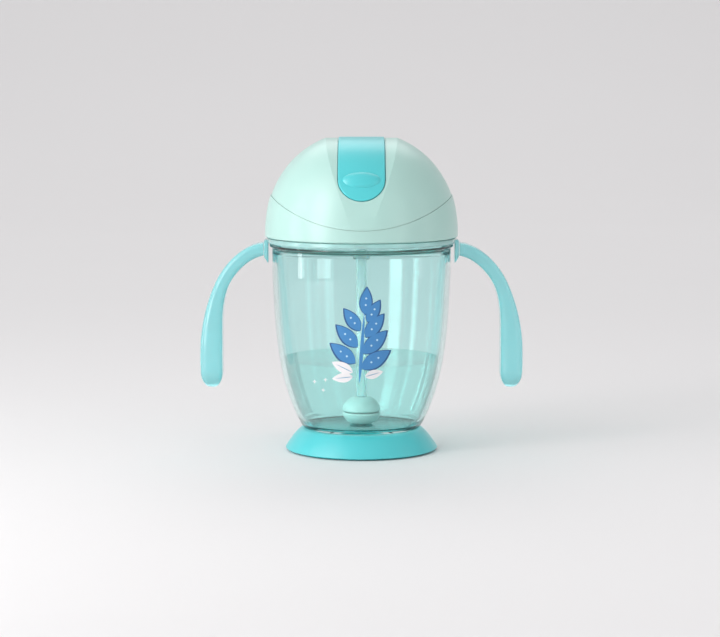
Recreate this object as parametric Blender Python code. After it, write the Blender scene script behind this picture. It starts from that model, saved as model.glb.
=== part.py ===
"""Sippy cup with two handles, a screw lid, a sliding cover, a folding spout and a weighted straw.

Metres, +Z up. The origin is the centre of the foot's underside, the front faces -Y and the
handles point along X. Every piece is one closed solid, named as its node.
"""
import math

import bmesh
import bpy
from mathutils import Matrix, Vector
from mathutils.geometry import interpolate_bezier

# ---- driving dimensions (metres, degrees) -------------------------------------------------
GAP = 0.0003                 # clearance between touching pieces
ROUND_STEPS = 36             # facets round a large turned piece
SMALL_STEPS = 16             # facets round a small turned piece

# cup
BODY_R = 0.042               # outer radius of the straight upper wall
BODY_TAPER_Z = 0.084         # below this height the wall draws in
BODY_BOTTOM_Z = 0.0108
WALL = 0.0023
FLOOR_TOP_Z = 0.0117
SHOULDER_Z = 0.0978
NECK_R = 0.0375
NECK_WALL = 0.0022
RIM_Z = 0.1083
SPIGOT_R = 0.0242            # skirt under the cup that the foot ring grips

# foot
FOOT_R = 0.0358
FOOT_TOP_R = 0.0276
FOOT_TOP_Z = 0.0104
FOOT_EDGE_Z = 0.0008
FOOT_DISC_Z = 0.0089         # top of the disc under the cup's floor
FOOT_WALL = 0.0016
PAD_IN_R, PAD_OUT_R = 0.0303, 0.0336
PAD_TOP_Z = 0.0021

# thread between cup and lid: two starts
THREAD_LEAD = 0.008
THREAD_STARTS = 2
THREAD_TURN = 170.0          # degrees that each ridge runs
THREAD_HEIGHT = 0.0011
THREAD_BASE = 0.0020
THREAD_CREST = 0.0009
NECK_THREAD_Z = 0.1028       # where the neck's first ridge starts
THREAD_DROP = 0.0016         # how far the lid's ridges run below the neck's

# handles
RING_BOTTOM_Z, RING_STEP_Z, RING_TOP_Z = 0.0981, 0.0997, 0.1004
RING_R, RING_STEP_R = 0.0444, 0.0410       # the step leaves room for the lid's skirt
LUG_START_X, LUG_END_X = 0.0436, 0.0455
LUG_TOP_Z = 0.0994
LUG_BOTTOM_Z = (0.0885, 0.0915)            # at the cup's wall and at the handle
HANDLE_HALF_WIDTH = (0.0062, 0.0080)       # along Y, at the root and at the free end
HANDLE_HALF_THICKNESS = (0.0031, 0.0052)   # across the strap, on the arch and at the free end
HANDLE_SWELL_Z = (0.0820, 0.0480)          # heights between which the strap thickens
HANDLE_TIP_Z = 0.0293

# lid shell: superellipse round the dome's centre
DOME_Z = 0.1018              # height of the dome's centre, and of the cover's sliding axis
DOME_R = 0.0452
COVER_RISE = 0.048           # height of the upper shell above the centre, before the flat band
COLLAR_RISE = 0.051
HOLLOW_RISE = 0.0442         # inside of the upper shell, clear of the flat band
DOME_POWER = 2.1
SHELL = 0.0020
LID_BOTTOM_Z = 0.1007
SEAM_Z = 0.1063              # lowest point of the seam between the two shells
SEAM_R = 0.0712
SKIRT_IN_R, SKIRT_OUT_R = 0.0390, 0.0404
SKIRT_BOTTOM_Z, SKIRT_TOP_Z = 0.1001, 0.1140
WEB_Z = 0.1020

# sliding cover, measured from the dome's centre; angles rise from the front over the top
BAND_R = 0.0451
COVER_IN_R, COVER_OUT_R = 0.0433, 0.0456
COVER_HALF_WIDTH = 0.0107
COVER_START, COVER_END = 23.3, 91.0
COVER_TRAVEL = 66.0
TROUGH_R = 0.0430
HOUSING_R = 0.0412
HOUSING_HALF_WIDTH = 0.0138
TONGUE_START, TONGUE_END = 38.0, 76.0
TONGUE_HALF_WIDTH = 0.0118
TONGUE_IN_R, TONGUE_OUT_R = 0.0435, 0.0442
SLOT_START, SLOT_END = 30.0, 86.0
SLOT_HALF_WIDTH = 0.0065
THUMB_ANGLE = 36.6
THUMB_RADII = (0.0089, 0.0043, 0.0023)     # across, along, and out of the cover

# lid plate, spout and straw
PLATE_Z, PLATE_THICKNESS = 0.1103, 0.0020
PLATE_R = 0.0387
WELL_FLOOR_Z = 0.1030
WELL_HALF_WIDTH = 0.0065
WELL_FRONT_Y, WELL_BACK_Y = -0.0336, -0.0090
WELL_WALL = 0.0014
SPOUT_PIVOT_Z = 0.128
SPOUT_LENGTH = 0.034
SPOUT_R = 0.0039
SPOUT_BORE_R = 0.0015
SPOUT_FOLD = -35.0           # degrees above the horizontal, pointing to the front
SWING_X_Z = 0.0952           # the cuff swings about X here
SWING_Y_Z = 0.0940           # the straw swings about Y here
SOCKET_R = 0.0040
SPIGOT_TIP_R = 0.0017
CUFF_BORE_R = 0.0030
STRAW_R = 0.0026
STRAW_BORE_R = 0.0016

# weighted ball
BALL_R = 0.0090
BALL_SEAM_Z = 0.0180
BALL_BOTTOM_Z = 0.0125
BALL_TOP_Z = 0.0254
BALL_WALL = 0.0014

# ---- colours (linear) ----------------------------------------------------------------------
MINT = (0.46, 0.74, 0.68)
TEAL = (0.10, 0.62, 0.65)
CLEAR_AQUA = (0.42, 0.78, 0.76)
SILICONE = (0.80, 0.88, 0.87)
STEEL = (0.60, 0.60, 0.60)


# ---- helpers -------------------------------------------------------------------------------
def clear_scene():
    for old in list(bpy.data.objects):
        bpy.data.objects.remove(old, do_unlink=True)


def plastic(name, colour, roughness=0.3, metallic=0.0):
    """A Principled material in the piece's own colour."""
    material = bpy.data.materials.new(name)
    material.use_nodes = True
    shader = material.node_tree.nodes["Principled BSDF"]
    shader.inputs["Base Color"].default_value = (*colour, 1.0)
    shader.inputs["Roughness"].default_value = roughness
    shader.inputs["Metallic"].default_value = metallic
    material.diffuse_color = (*colour, 1.0)
    return material


def finished(name, shape, material=None):
    """Turn a bmesh into a named object: a piece with its material, or a cutter without one."""
    bmesh.ops.recalc_face_normals(shape, faces=shape.faces)
    mesh = bpy.data.meshes.new(name)
    shape.to_mesh(mesh)
    shape.free()
    piece = bpy.data.objects.new(name, mesh)
    bpy.context.scene.collection.objects.link(piece)
    if material:
        mesh.materials.append(material)
        mesh.shade_smooth()
        mesh.set_sharp_from_angle(angle=math.radians(35))
    else:
        piece.hide_render = True
        piece.display_type = "WIRE"
    return piece


def turned(name, profile, material=None, steps=ROUND_STEPS, centre=(0.0, 0.0)):
    """Spin a closed outline of (radius, height) points about the vertical through centre."""
    shape = bmesh.new()
    corners = [shape.verts.new((radius, 0.0, height)) for radius, height in profile]
    for here, there in zip(corners, corners[1:] + corners[:1]):
        if here.co.x > 0 or there.co.x > 0:
            shape.edges.new((here, there))
    bmesh.ops.spin(shape, geom=shape.verts[:] + shape.edges[:], cent=(0, 0, 0), axis=(0, 0, 1),
                   dvec=(0, 0, 0), angle=2 * math.pi, steps=steps, use_merge=True)
    bmesh.ops.remove_doubles(shape, verts=shape.verts, dist=1e-6)
    bmesh.ops.translate(shape, verts=shape.verts, vec=(*centre, 0.0))
    return finished(name, shape, material)


def rod(name, axis, radius, centre, length, steps=96):
    """A long cylinder lying along X or Y, used to trim the lid's shells."""
    turn = {"X": Matrix.Rotation(math.pi / 2, 4, "Y"), "Y": Matrix.Rotation(math.pi / 2, 4, "X")}
    shape = bmesh.new()
    bmesh.ops.create_cone(shape, cap_ends=True, segments=steps, radius1=radius, radius2=radius,
                          depth=length, matrix=Matrix.Translation(centre) @ turn[axis])
    return finished(name, shape)


def block(name, low, high, material=None):
    """A box between two corners."""
    shape = bmesh.new()
    size = [b - a for a, b in zip(low, high)]
    middle = [(a + b) / 2 for a, b in zip(low, high)]
    bmesh.ops.create_cube(shape, size=1.0,
                          matrix=Matrix.Translation(middle) @ Matrix.Diagonal((*size, 1.0)))
    return finished(name, shape, material)


def on_dome(angle, radius, x):
    """The point at an angle over the dome, counted from the front, and a distance off centre."""
    turn = math.radians(angle)
    return Vector((x, -radius * math.cos(turn), DOME_Z + radius * math.sin(turn)))


def strip(name, start, end, half_width, inner, outer, material=None, round_front=False,
          round_back=False, step=4.0):
    """A band that follows the sliding arc, with square or half-round ends."""
    degrees = math.degrees(half_width / BAND_R)
    front = start + degrees if round_front else start
    back = end - degrees if round_back else end
    count = max(2, math.ceil((back - front) / step))
    sections = [(front + (back - front) * i / count, half_width) for i in range(count + 1)]
    corners = [math.radians(a) for a in (82, 70, 56, 42, 28, 14)]
    if round_front:
        ends = [(front - degrees * math.sin(a), half_width * math.cos(a)) for a in corners]
        sections = ends + sections
    if round_back:
        ends = [(back + degrees * math.sin(a), half_width * math.cos(a)) for a in corners]
        sections = sections + ends[::-1]
    shape = bmesh.new()
    rings = []
    for angle, width in sections:
        rings.append([shape.verts.new(on_dome(angle, radius, x)) for radius, x in
                      ((inner, -width), (inner, width), (outer, width), (outer, -width))])
    join_rings(shape, rings)
    return finished(name, shape, material)


def join_rings(shape, rings):
    """Skin a list of equal rings and close both ends."""
    for ring, following in zip(rings, rings[1:]):
        for i in range(len(ring)):
            j = (i + 1) % len(ring)
            shape.faces.new((ring[i], ring[j], following[j], following[i]))
    shape.faces.new(rings[0])
    shape.faces.new(rings[-1])


def boolean(piece, cutter, operation="DIFFERENCE"):
    """Cut a piece with, add to it, or keep what it shares with another shape."""
    modifier = piece.modifiers.new(f"{operation}_{cutter.name}", "BOOLEAN")
    modifier.object = cutter
    modifier.operation = operation
    modifier.solver = "EXACT"


def thread(name, wall_radius, outward, start_z):
    """Helical ridges rooted inside a wall at wall_radius, as one shape per start."""
    ridges = []
    side = 1 if outward else -1
    root = wall_radius - side * GAP * 2
    tip = wall_radius + side * THREAD_HEIGHT
    count = 16
    for index in range(THREAD_STARTS):
        shape = bmesh.new()
        rings = []
        for i in range(count + 1):
            turn = THREAD_TURN * i / count
            angle = math.radians(turn + 360.0 * index / THREAD_STARTS)
            height = start_z + THREAD_LEAD * turn / 360.0
            fade = min(1.0, i / 2, (count - i) / 2)          # the ridge runs out at both ends
            reach = root + (tip - root) * (0.35 + 0.65 * fade)
            outline = ((root, -THREAD_BASE / 2), (reach, -THREAD_CREST / 2),
                       (reach, THREAD_CREST / 2), (root, THREAD_BASE / 2))
            rings.append([shape.verts.new((r * math.cos(angle), r * math.sin(angle), height + dz))
                          for r, dz in outline])
        join_rings(shape, rings)
        ridges.append(finished(f"{name}_{index}", shape))
    return ridges


# ---- the cup -------------------------------------------------------------------------------
def body_radius(height):
    """Outer radius of the cup's wall: nearly straight above, drawn in like a bowl below."""
    below = max(0.0, BODY_TAPER_Z - height)
    return BODY_R - 0.045 * below - 0.00161 * (below / 0.042) ** 3.44


def make_cup_body():
    """Clear moulded vessel: bead, shoulder, threaded neck, and a skirt that carries the foot."""
    heights = [BODY_TAPER_Z - (BODY_TAPER_Z - BODY_BOTTOM_Z) * (i / 13) ** 0.8
               for i in range(14)]
    outer = [(body_radius(z), z) for z in heights]
    inner = [(body_radius(z) - WALL, z) for z in reversed(heights) if z > FLOOR_TOP_Z + 0.002]
    neck_in = NECK_R - NECK_WALL
    profile = [(NECK_R, RIM_Z), (NECK_R, SHOULDER_Z), (0.0418, SHOULDER_Z),
               (0.0431, SHOULDER_Z - 0.0005), (0.0431, SHOULDER_Z - 0.0014),
               (BODY_R, SHOULDER_Z - 0.0021)]
    profile += outer
    floor_z = FOOT_DISC_Z + GAP
    profile += [(SPIGOT_R, BODY_BOTTOM_Z), (SPIGOT_R, 0.0042), (SPIGOT_R - 0.0018, 0.0042),
                (SPIGOT_R - 0.0018, floor_z), (0.0, floor_z), (0.0, FLOOR_TOP_Z),
                (0.0234, FLOOR_TOP_Z), (0.0258, FLOOR_TOP_Z + 0.0008)]
    profile += inner
    profile += [(BODY_R - WALL, SHOULDER_Z - 0.0048), (0.0388, SHOULDER_Z - 0.0027),
                (neck_in, SHOULDER_Z - 0.0008), (neck_in, RIM_Z)]
    body = turned("cup_body", profile, plastic("clear_cup", CLEAR_AQUA, 0.05))
    for ridge in thread("neck_ridge", NECK_R, True, NECK_THREAD_Z):
        boolean(body, ridge, "UNION")


def make_foot():
    """Flared foot with a disc under the cup's floor, and the grip ring pressed into it."""
    flare = []
    for i in range(8):
        down = i / 7                       # mostly a straight line, partly a quarter ellipse
        out = (2 * down + math.sqrt(1 - (1 - down) ** 2)) / 3
        flare.append((FOOT_TOP_R + (FOOT_R - FOOT_TOP_R) * out,
                      FOOT_TOP_Z + (FOOT_EDGE_Z + 0.0004 - FOOT_TOP_Z) * down))
    collar_in = SPIGOT_R + GAP
    disc_r = SPIGOT_R - 0.0018 - GAP
    groove_z = 0.0042 - GAP
    profile = [(0.0, FOOT_DISC_Z), (disc_r, FOOT_DISC_Z), (disc_r, groove_z),
               (collar_in, groove_z), (collar_in, FOOT_TOP_Z), *flare,
               (FOOT_R - 0.0002, FOOT_EDGE_Z),
               (PAD_OUT_R + GAP, FOOT_EDGE_Z), (PAD_OUT_R + GAP, PAD_TOP_Z + GAP),
               (PAD_IN_R - GAP, PAD_TOP_Z + GAP), (PAD_IN_R - GAP, FOOT_EDGE_Z),
               (0.0288, FOOT_EDGE_Z), (0.0286, 0.0062), (0.0262, 0.0072), (0.0260, 0.0024),
               (disc_r - FOOT_WALL, 0.0024), (disc_r - FOOT_WALL, FOOT_DISC_Z - FOOT_WALL),
               (0.0, FOOT_DISC_Z - FOOT_WALL)]
    turned("foot_base", profile, plastic("foot_teal", TEAL, 0.35))
    turned("foot_pad", [(PAD_OUT_R, PAD_TOP_Z), (PAD_OUT_R, 0.0), (PAD_IN_R, 0.0),
                        (PAD_IN_R, PAD_TOP_Z)], plastic("pad_silicone", TEAL, 0.6))


def make_handle_ring():
    """Ring clamped between the cup's shoulder and the lid, with a lug for each handle."""
    ring = turned("handle_ring", [(RING_R, RING_TOP_Z), (RING_R, RING_BOTTOM_Z),
                                  (NECK_R + GAP, RING_BOTTOM_Z), (NECK_R + GAP, RING_STEP_Z),
                                  (RING_STEP_R, RING_STEP_Z), (RING_STEP_R, RING_TOP_Z)],
                  plastic("ring_aqua", CLEAR_AQUA, 0.1))
    for side in (-1, 1):
        outline = ((LUG_START_X, LUG_BOTTOM_Z[0]), (LUG_START_X, LUG_TOP_Z),
                   (LUG_END_X, LUG_TOP_Z), (LUG_END_X, LUG_BOTTOM_Z[1]))
        shape = bmesh.new()
        join_rings(shape, [[shape.verts.new((side * x, y, z)) for x, z in outline]
                           for y in (-HANDLE_HALF_WIDTH[0], HANDLE_HALF_WIDTH[0])])
        boolean(ring, finished("left_lug" if side < 0 else "right_lug", shape), "UNION")


def handle_line():
    """Centre line of the right handle: out of the lug, over an arch and down to the free end."""
    root = Vector((LUG_END_X + GAP, 0, 0.0950))
    elbow = Vector((0.0650, 0, 0.0793))
    grip = Vector((0.0706, 0, 0.0430))
    tip = Vector((0.0703, 0, HANDLE_TIP_Z))
    arch = interpolate_bezier(root, root + Vector((0.0085, 0, -0.0010)),
                              elbow + Vector((-0.0032, 0, 0.0066)), elbow, 9)
    drop = interpolate_bezier(elbow, elbow + Vector((0.0046, 0, -0.0098)),
                              grip + Vector((0, 0, 0.0140)), grip, 10)
    end = interpolate_bezier(grip, grip + Vector((0, 0, -0.0040)), tip + Vector((0, 0, 0.0040)),
                             tip, 6)
    return arch + drop[1:] + end[1:]


def make_handles():
    """Curved straps with a thick rounded free end."""
    line = handle_line()
    last = len(line) - 1
    for name, side in (("handle_left", -1), ("handle_right", 1)):
        shape = bmesh.new()
        rings = []
        for i, point in enumerate(line):
            along = (line[min(i + 1, last)] - line[i - 1]).normalized() if i else Vector((1, 0, 0))
            across = Vector((-along.z, 0, along.x))
            part = min(1.0, i / (last - 5))
            width = HANDLE_HALF_WIDTH[0] + (HANDLE_HALF_WIDTH[1] - HANDLE_HALF_WIDTH[0]) * part
            swell = (HANDLE_SWELL_Z[0] - point.z) / (HANDLE_SWELL_Z[0] - HANDLE_SWELL_Z[1])
            swell = min(1.0, max(0.0, swell))
            thick = HANDLE_HALF_THICKNESS[0] + (
                HANDLE_HALF_THICKNESS[1] - HANDLE_HALF_THICKNESS[0]) * swell ** 2 * (3 - 2 * swell)
            left = (point.z - HANDLE_TIP_Z) / HANDLE_HALF_WIDTH[1]
            close = math.sqrt(max(0.02, 1 - (1 - left) ** 2)) if left < 1 else 1.0
            ring = []
            for k in range(12):
                turn = math.radians(30 * k + 15)
                x = math.copysign(abs(math.cos(turn)) ** 0.7, math.cos(turn)) * thick * close
                y = math.copysign(abs(math.sin(turn)) ** 0.7, math.sin(turn)) * width * close
                spot = point + across * x + Vector((0, y, 0))
                ring.append(shape.verts.new((spot.x * side, spot.y, spot.z)))
            rings.append(ring)
        join_rings(shape, rings)
        finished(name, shape, plastic(f"{name}_aqua", CLEAR_AQUA, 0.12))


# ---- the lid -------------------------------------------------------------------------------
def dome_profile(radius, rise, low_z, steps=14):
    """Half outline of the dome, from the axis at the top down to its straight lower edge."""
    points = []
    for i in range(steps + 1):
        turn = math.radians(90 - 90 * i / steps)
        points.append((radius * math.cos(turn) ** (2 / DOME_POWER) if i else 0.0,
                       DOME_Z + rise * math.sin(turn) ** (2 / DOME_POWER)))
    return points + [(radius, low_z)]


def make_lid_collar():
    """Lower shell of the lid with an arched upper edge, a web and the threaded skirt."""
    inner = DOME_R - SHELL
    outside = dome_profile(DOME_R, COLLAR_RISE, LID_BOTTOM_Z + 0.0005)[4:]
    inside = dome_profile(inner, COLLAR_RISE - SHELL, LID_BOTTOM_Z)[4:]
    profile = [*outside, (DOME_R - 0.0005, LID_BOTTOM_Z), *inside[::-1]]
    collar = turned("lid_collar", profile, plastic("lid_mint", MINT, 0.3))
    above = rod("seam_above", "Y", SEAM_R, (0, 0, SEAM_Z + SEAM_R), 0.2)
    boolean(collar, above)
    lip_in = PLATE_R - 0.0014
    skirt = turned("threaded_skirt", [
        (SKIRT_OUT_R, SKIRT_TOP_Z), (SKIRT_OUT_R, WEB_Z + 0.0016), (inner + 0.0008, WEB_Z + 0.0016),
        (inner + 0.0008, WEB_Z), (SKIRT_OUT_R, WEB_Z), (SKIRT_OUT_R, SKIRT_BOTTOM_Z),
        (SKIRT_IN_R, SKIRT_BOTTOM_Z), (SKIRT_IN_R, PLATE_Z + PLATE_THICKNESS + GAP),
        (lip_in, PLATE_Z + PLATE_THICKNESS + GAP), (lip_in, SKIRT_TOP_Z)])
    boolean(collar, skirt, "UNION")
    for ridge in thread("skirt_ridge", SKIRT_IN_R, False, NECK_THREAD_Z - THREAD_DROP):
        boolean(collar, ridge, "UNION")


def make_dome_cover():
    """Upper shell with a flat band, a trough for the sliding cover and the spout's slot."""
    dome = turned("dome_cover", dome_profile(DOME_R, COVER_RISE, LID_BOTTOM_Z)
                  + [(0.0, LID_BOTTOM_Z)], plastic("dome_mint", MINT, 0.3))
    boolean(dome, rod("flat_band", "X", BAND_R, (0, 0, DOME_Z), 0.2), "INTERSECT")
    boolean(dome, rod("seam_below", "Y", SEAM_R - GAP, (0, 0, SEAM_Z + SEAM_R), 0.2), "INTERSECT")
    below = LID_BOTTOM_Z - 0.002
    hollow = turned("dome_hollow", dome_profile(DOME_R - SHELL, HOLLOW_RISE, below)
                    + [(0.0, below)])
    end = COVER_END + COVER_TRAVEL
    boolean(hollow, strip("housing", COVER_START - 2.3, end + 2.6, HOUSING_HALF_WIDTH, HOUSING_R,
                          0.055))
    boolean(dome, hollow)
    boolean(dome, strip("trough", COVER_START - 0.4, end + 0.5, COVER_HALF_WIDTH + GAP, TROUGH_R,
                        0.055, round_front=True))
    boolean(dome, strip("side_groove", TONGUE_START - 0.5, TONGUE_END + COVER_TRAVEL + 0.5,
                        TONGUE_HALF_WIDTH + GAP, TONGUE_IN_R - GAP, TONGUE_OUT_R + GAP, step=3.7))
    boolean(dome, strip("spout_slot", SLOT_START, SLOT_END, SLOT_HALF_WIDTH, 0.035, 0.050,
                        round_front=True, round_back=True))


def make_slide_cover():
    """Teal cover with a half-round front end, a thumb bump and a tongue on each side."""
    cover = strip("slide_cover", COVER_START, COVER_END, COVER_HALF_WIDTH, COVER_IN_R, COVER_OUT_R,
                  plastic("cover_teal", TEAL, 0.3), round_front=True, step=3.0)
    boolean(cover, strip("tongues", TONGUE_START, TONGUE_END, TONGUE_HALF_WIDTH, TONGUE_IN_R,
                         TONGUE_OUT_R), "UNION")
    bump = bmesh.new()
    bmesh.ops.create_uvsphere(bump, u_segments=20, v_segments=10, radius=1.0)
    # Only its outer part is kept, so that nothing stands out of the cover's inside.
    cut = bmesh.ops.bisect_plane(bump, geom=bump.verts[:] + bump.edges[:] + bump.faces[:],
                                 plane_co=(0, 0, -0.2), plane_no=(0, 0, -1), clear_outer=True)
    bmesh.ops.contextual_create(bump, geom=[e for e in cut["geom_cut"]
                                            if isinstance(e, bmesh.types.BMEdge)])
    spot = on_dome(THUMB_ANGLE, COVER_OUT_R - 0.0006, 0)
    lean = Matrix.Rotation(math.radians(90 - THUMB_ANGLE), 4, "X")
    bmesh.ops.transform(bump, verts=bump.verts, matrix=Matrix.Translation(spot) @ lean
                        @ Matrix.Diagonal((*THUMB_RADII, 1.0)))
    boolean(cover, finished("thumb_bump", bump), "UNION")


def make_lid_plate():
    """Inner plate over the cup's mouth, with a well for the folded spout and a straw hole."""
    plate = turned("lid_plate", [(0.0, PLATE_Z + PLATE_THICKNESS),
                                 (PLATE_R, PLATE_Z + PLATE_THICKNESS), (PLATE_R, PLATE_Z),
                                 (0.0, PLATE_Z)], plastic("plate_mint", MINT, 0.35))
    outside = block("well_outside",
                    (-WELL_HALF_WIDTH - WELL_WALL, WELL_FRONT_Y - WELL_WALL + GAP,
                     WELL_FLOOR_Z - WELL_WALL),
                    (WELL_HALF_WIDTH + WELL_WALL, WELL_BACK_Y + WELL_WALL, PLATE_Z + 0.001))
    rounding = turned("well_rounding", [(0.0, 0.12), (0.0347, 0.12), (0.0347, 0.09), (0.0, 0.09)])
    boolean(outside, rounding, "INTERSECT")
    boolean(plate, outside, "UNION")
    inside = block("well_inside", (-WELL_HALF_WIDTH, WELL_FRONT_Y, WELL_FLOOR_Z),
                   (WELL_HALF_WIDTH, WELL_BACK_Y, 0.12))
    boolean(inside, turned("well_hollow", [(0.0, 0.13), (0.0333, 0.13), (0.0333, 0.09),
                                           (0.0, 0.09)]), "INTERSECT")
    boolean(plate, inside)
    boolean(plate, turned("straw_hole", [(0.0, 0.12), (0.0024, 0.12), (0.0024, 0.10), (0.0, 0.10)],
                          steps=SMALL_STEPS))
    boolean(plate, turned("vent_hole", [(0.0, 0.12), (0.0016, 0.12), (0.0016, 0.10), (0.0, 0.10)],
                          steps=SMALL_STEPS, centre=(0.0, 0.022)))


def make_seals():
    """Silicone gasket under the plate and the vent valve behind the spout."""
    turned("lid_gasket", [(NECK_R - 0.0001, PLATE_Z - GAP), (NECK_R - 0.0001, RIM_Z + GAP),
                          (0.0354, RIM_Z + GAP), (0.0354, PLATE_Z - GAP)],
           plastic("gasket_silicone", SILICONE, 0.5))
    top = PLATE_Z + PLATE_THICKNESS
    turned("vent_valve", [(0.0, top + 0.0016), (0.0026, top + 0.0012), (0.0030, top + GAP),
                          (0.0013, top + GAP), (0.0013, PLATE_Z - 0.0030),
                          (0.0006, PLATE_Z - 0.0044), (0.0, PLATE_Z - 0.0044)],
           plastic("valve_silicone", SILICONE, 0.5), steps=SMALL_STEPS, centre=(0.0, 0.022))


def make_spout():
    """Soft spout in two solids, root and folding tip, and the ring that holds its flange."""
    seat = PLATE_Z + PLATE_THICKNESS + GAP
    slope = math.tan(math.radians(-SPOUT_FOLD))
    cone = SPOUT_PIVOT_Z - (SPOUT_R + 0.0004) / math.cos(math.radians(SPOUT_FOLD))
    root_r = 0.0034
    silicone = plastic("spout_silicone", SILICONE, 0.45)
    turned("spout_root", [(SPOUT_BORE_R, cone - slope * SPOUT_BORE_R), (root_r, cone - slope * root_r),
                          (root_r, seat + 0.0022), (0.0072, seat + 0.0022), (0.0072, seat),
                          (SPOUT_BORE_R, seat)], silicone, steps=SMALL_STEPS)
    turned("spout_retainer", [(0.0086, seat + 0.0042), (0.0086, seat), (0.0075, seat),
                              (0.0075, seat + 0.0025), (root_r + GAP, seat + 0.0025),
                              (root_r + GAP, seat + 0.0042)],
           plastic("retainer_mint", MINT, 0.35), steps=SMALL_STEPS)
    lip = 0.0012
    bulb = [(SPOUT_R * math.cos(math.radians(a)), SPOUT_R * math.sin(math.radians(a)))
            for a in (0, -25, -50)]
    tip = turned("spout_tip", [
        (SPOUT_BORE_R, SPOUT_LENGTH), (SPOUT_R - lip, SPOUT_LENGTH), (SPOUT_R, SPOUT_LENGTH - lip),
        (SPOUT_R, SPOUT_LENGTH - 0.0045), (SPOUT_R - 0.0006, SPOUT_LENGTH - 0.0062),
        (SPOUT_R, SPOUT_LENGTH - 0.0200), *bulb,
        (SPOUT_BORE_R, -SPOUT_R * math.sin(math.radians(65)))],
        plastic("spout_tip_silicone", SILICONE, 0.45), steps=SMALL_STEPS)
    tip.location = (0, 0, SPOUT_PIVOT_Z)
    tip.rotation_euler = (math.radians(90 - SPOUT_FOLD), 0, 0)


# ---- the straw -----------------------------------------------------------------------------
def make_straw():
    """Socket under the plate, soft cuff, and the straw that hangs from it."""
    shoulder = SWING_X_Z + 0.0028
    turned("straw_socket", [
        (SOCKET_R, PLATE_Z - GAP), (SOCKET_R, shoulder), (SPIGOT_TIP_R, shoulder),
        (SPIGOT_TIP_R, SWING_X_Z), (0.0009, SWING_X_Z), (0.0009, PLATE_Z - GAP)],
        plastic("socket_clear", CLEAR_AQUA, 0.1), steps=SMALL_STEPS)
    cuff = turned("straw_cuff", [
        (SOCKET_R - 0.0004, 0.0018), (SOCKET_R, 0.0013), (SOCKET_R, -0.0017),
        (SOCKET_R - 0.0005, -0.0022), (CUFF_BORE_R, -0.0022), (CUFF_BORE_R, 0.0018)],
        plastic("cuff_silicone", SILICONE, 0.45), steps=SMALL_STEPS)
    cuff.location = (0, 0, SWING_X_Z)
    bottom = BALL_TOP_Z - 0.0030
    straw = turned("straw_tube", [
        (STRAW_R, 0.0006), (STRAW_R, bottom - SWING_Y_Z), (STRAW_BORE_R, bottom - SWING_Y_Z),
        (STRAW_BORE_R, 0.0006)], plastic("straw_silicone", SILICONE, 0.4), steps=12)
    straw.location = (0, 0, SWING_Y_Z)


def make_ball():
    """Weighted end: two shells round a steel ring, and a valve at the inlet."""
    centre_z = BALL_SEAM_Z
    rise = BALL_TOP_Z - centre_z
    drop = centre_z - BALL_BOTTOM_Z
    socket = STRAW_R + GAP
    # Each quarter outline is an ellipse; the lower one is cut flat where the ball stands.
    upper = [(BALL_R * math.cos(math.radians(a)), centre_z + GAP / 2
              + rise * math.sin(math.radians(a))) for a in (0, 15, 30, 45, 58, 70)]
    inner_r, inner_rise = BALL_R - BALL_WALL, rise - BALL_WALL
    roof = [(inner_r * math.cos(math.radians(a)), centre_z + GAP / 2
             + inner_rise * math.sin(math.radians(a))) for a in (58, 45, 30, 15, 0)]
    turned("ball_upper", [*upper, (socket, upper[-1][1]), (socket, roof[0][1] - 0.0004), *roof],
           plastic("ball_mint", MINT, 0.35), steps=20)
    depth = drop * 1.18
    bend = [(BALL_R * math.cos(math.radians(a)), centre_z - GAP / 2
             - depth * math.sin(math.radians(a))) for a in (0, 15, 30, 44, 57)]
    hollow = [(inner_r * math.cos(math.radians(a)), centre_z - GAP / 2
               - (depth - BALL_WALL) * math.sin(math.radians(a))) for a in (0, 15, 30, 40)]
    inlet = 0.0022
    turned("ball_lower", [*bend, (inlet, bend[-1][1]), (inlet, hollow[-1][1]), *hollow[::-1]],
           plastic("ball_lower_mint", MINT, 0.35), steps=20)
    floor = hollow[-1][1] + GAP
    turned("ball_valve", [(0.0044, floor + 0.0010), (0.0044, floor), (0.0008, floor),
                          (0.0008, floor + 0.0010)],
           plastic("ball_valve_silicone", SILICONE, 0.5), steps=SMALL_STEPS)
    turned("ball_weight", [(0.0058, centre_z + 0.0033), (0.0066, centre_z + 0.0024),
                           (0.0066, floor + 0.0026), (0.0056, floor + 0.0014),
                           (0.0032, floor + 0.0014), (0.0032, centre_z + 0.0033)],
           plastic("weight_steel", STEEL, 0.25, 1.0), steps=SMALL_STEPS)


clear_scene()
make_cup_body()
make_foot()
make_handle_ring()
make_handles()
make_lid_collar()
make_dome_cover()
make_slide_cover()
make_lid_plate()
make_seals()
make_spout()
make_straw()
make_ball()
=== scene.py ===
"""Sippy cup with two handles, a screw lid, a sliding cover, a folding spout and a weighted straw.

Metres, +Z up, the front faces -Y. Each section below makes one piece, in the order in which the
cup is put together.
"""
from math import atan2, ceil, cos, hypot, pi, radians, sin, sqrt, tan

import bpy
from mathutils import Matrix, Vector
from mathutils.geometry import interpolate_bezier


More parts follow.
